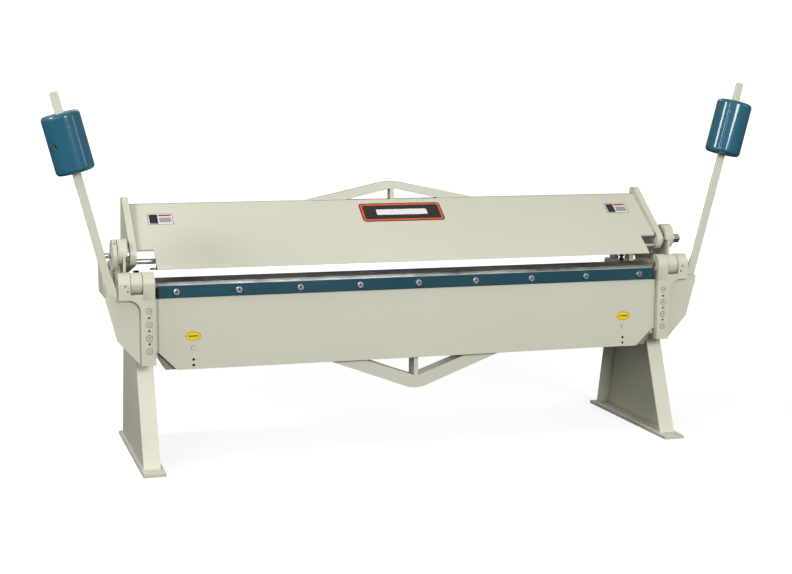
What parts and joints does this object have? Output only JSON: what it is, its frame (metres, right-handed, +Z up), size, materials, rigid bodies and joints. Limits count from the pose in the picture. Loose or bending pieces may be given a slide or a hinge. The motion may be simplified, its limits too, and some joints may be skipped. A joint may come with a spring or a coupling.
{
  "type": "sheet metal brake",
  "caption": "Hand leaf brake: a tilting lower leaf with counterweights bends sheet that a crank-clamped upper leaf holds on a fixed bed between two legs.",
  "frame": {"origin": "on the floor, midway between the two foot plates and midway along them", "axes": "+X to the operator's right along the bend line, +Y away from the operator, +Z up"},
  "size_m": [3.4441, 0.884, 1.7417],
  "materials": {
    "cream_paint": "semi-gloss grey-cream machine enamel",
    "cast_cream_paint": "the same enamel over rough castings",
    "blue_paint": "dark blue-green enamel, worn bright along the top edge",
    "weight_paint": "slate blue enamel",
    "machined_steel": "planed steel, faint tool marks along its length",
    "bright_steel": "turned steel",
    "zinc_screws": "bright zinc plate",
    "dark_screws": "black oxide",
    "bush_bronze": "turned bronze",
    "label_yellow": "blank vinyl sticker",
    "plate_orange": "blank printed plate",
    "label_white": "blank vinyl sticker"
  },
  "bodies": {
    "frame": {"leg_left": "cream_paint", "leg_right": "cream_paint", "foot_plate_left": "cream_paint", "foot_plate_right": "cream_paint", "side_frame_left": "cast_cream_paint", "side_frame_right": "cast_cream_paint", "side_frame_bolts": "bright_steel", "hinge_knuckle_left": "cast_cream_paint", "hinge_knuckle_right": "cast_cream_paint", "knuckle_bolts": "bright_steel", "hinge_bushes": "bush_bronze", "clamp_bushes": "bush_bronze", "rear_pivot_pins": "bright_steel", "rear_pivot_washers": "bright_steel", "bed_top_plate": "machined_steel", "bed_apron": "cream_paint", "bed_end_left": "cream_paint", "bed_end_right": "cream_paint", "bed_ribs": "cream_paint", "bed_screws": "dark_screws", "adjuster_brackets": "cast_cream_paint", "adjuster_screws": "dark_screws"},
    "bending_leaf": {"leaf_plate": "cream_paint", "leaf_stiffener": "cream_paint", "leaf_truss": "cream_paint", "casting_pads": "cream_paint", "bending_bar": "blue_paint", "bar_screws": "zinc_screws", "end_casting_left": "cast_cream_paint", "end_casting_right": "cast_cream_paint", "casting_bolts": "cream_paint", "leaf_set_screws": "dark_screws", "ear_set_screws": "dark_screws", "hinge_pins": "bright_steel", "leaf_plug_screws": "cream_paint", "oval_labels": "label_yellow", "stop_arm": "cream_paint", "counterweight_rod_left": "cream_paint", "counterweight_rod_right": "cream_paint"},
    "counterweight_left": {"counterweight_left": "weight_paint", "weight_screw_left": "zinc_screws"},
    "counterweight_right": {"counterweight_right": "weight_paint", "weight_screw_right": "zinc_screws"},
    "upper_leaf": {"upper_leaf_plate": "cream_paint", "nose_bar": "machined_steel", "upper_end_plate_left": "cream_paint", "upper_end_plate_right": "cream_paint", "upper_top_flange": "cream_paint", "upper_truss": "cream_paint", "upper_chord": "cream_paint", "upper_ribs": "cream_paint", "upper_tie_rod": "bright_steel", "name_plate": "plate_orange", "blank_labels": "label_white"},
    "clamp_shaft_left": {"clamp_shaft_left": "bright_steel", "clamp_hub": "cast_cream_paint", "clamp_hub_screw": "dark_screws"},
    "clamp_shaft_right": {"clamp_shaft_right": "bright_steel", "clamp_collar": "bright_steel", "clamp_lock_nut": "bright_steel"}
  },
  "joints": [
    {"name": "bending_leaf_swing", "type": "hinge", "parent": "frame", "child": "bending_leaf", "pos_m": [0, -0.244, 0.844], "axis": [-1, 0, 0], "range_deg": [0, 135]},
    {"name": "counterweight_left_slide", "type": "slide", "parent": "bending_leaf", "child": "counterweight_left", "axis": [-0.2504, 0, 0.9681], "range_m": [-0.3, 0.08]},
    {"name": "counterweight_right_slide", "type": "slide", "parent": "bending_leaf", "child": "counterweight_right", "axis": [0.2504, 0, 0.9681], "range_m": [-0.3, 0.08]},
    {"name": "upper_leaf_lift", "type": "hinge", "parent": "frame", "child": "upper_leaf", "pos_m": [0, 0.167, 0.88], "axis": [1, 0, 0], "range_deg": [0, 7.85]},
    {"name": "clamp_shaft_left_turn", "type": "hinge", "parent": "frame", "child": "clamp_shaft_left", "pos_m": [-1.39, -0.106, 0.957], "axis": [1, 0, 0], "range_deg": [0, 120.1]},
    {"name": "clamp_shaft_right_turn", "type": "hinge", "parent": "frame", "child": "clamp_shaft_right", "pos_m": [1.39, -0.106, 0.957], "axis": [1, 0, 0], "range_deg": [0, 120.1]}
  ],
  "couplings": [
    {"joint": "clamp_shaft_left_turn", "follows": "upper_leaf_lift", "ratio": 15.287},
    {"joint": "clamp_shaft_right_turn", "follows": "upper_leaf_lift", "ratio": 15.287}
  ]
}
